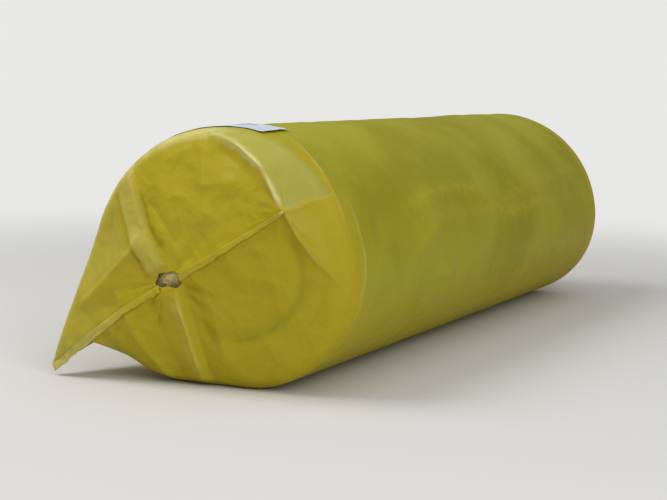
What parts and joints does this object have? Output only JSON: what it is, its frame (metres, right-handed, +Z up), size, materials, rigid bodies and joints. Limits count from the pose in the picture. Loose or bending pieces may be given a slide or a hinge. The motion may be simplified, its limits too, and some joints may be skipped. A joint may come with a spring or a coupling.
{
  "type": "insulation roll",
  "caption": "Glass wool insulation blanket wound into a soft roll and sealed in a yellow film bag, to lie in store until it is laid as thermal insulation.",
  "frame": {"origin": "middle of the settled strip on the underside that the roll lies on", "axes": "+Z up, +Y along the roll's axis, away from the end with the label, +X to the right seen from that end"},
  "size_m": [0.4438, 1.3178, 0.3556],
  "materials": {
    "wool": "matte glass wool",
    "film": "thin translucent polyethylene",
    "paper": "white label paper"
  },
  "bodies": {
    "root": {"wool_roll": "wool", "film_bag": "film", "label": "paper"}
  },
  "joints": []
}
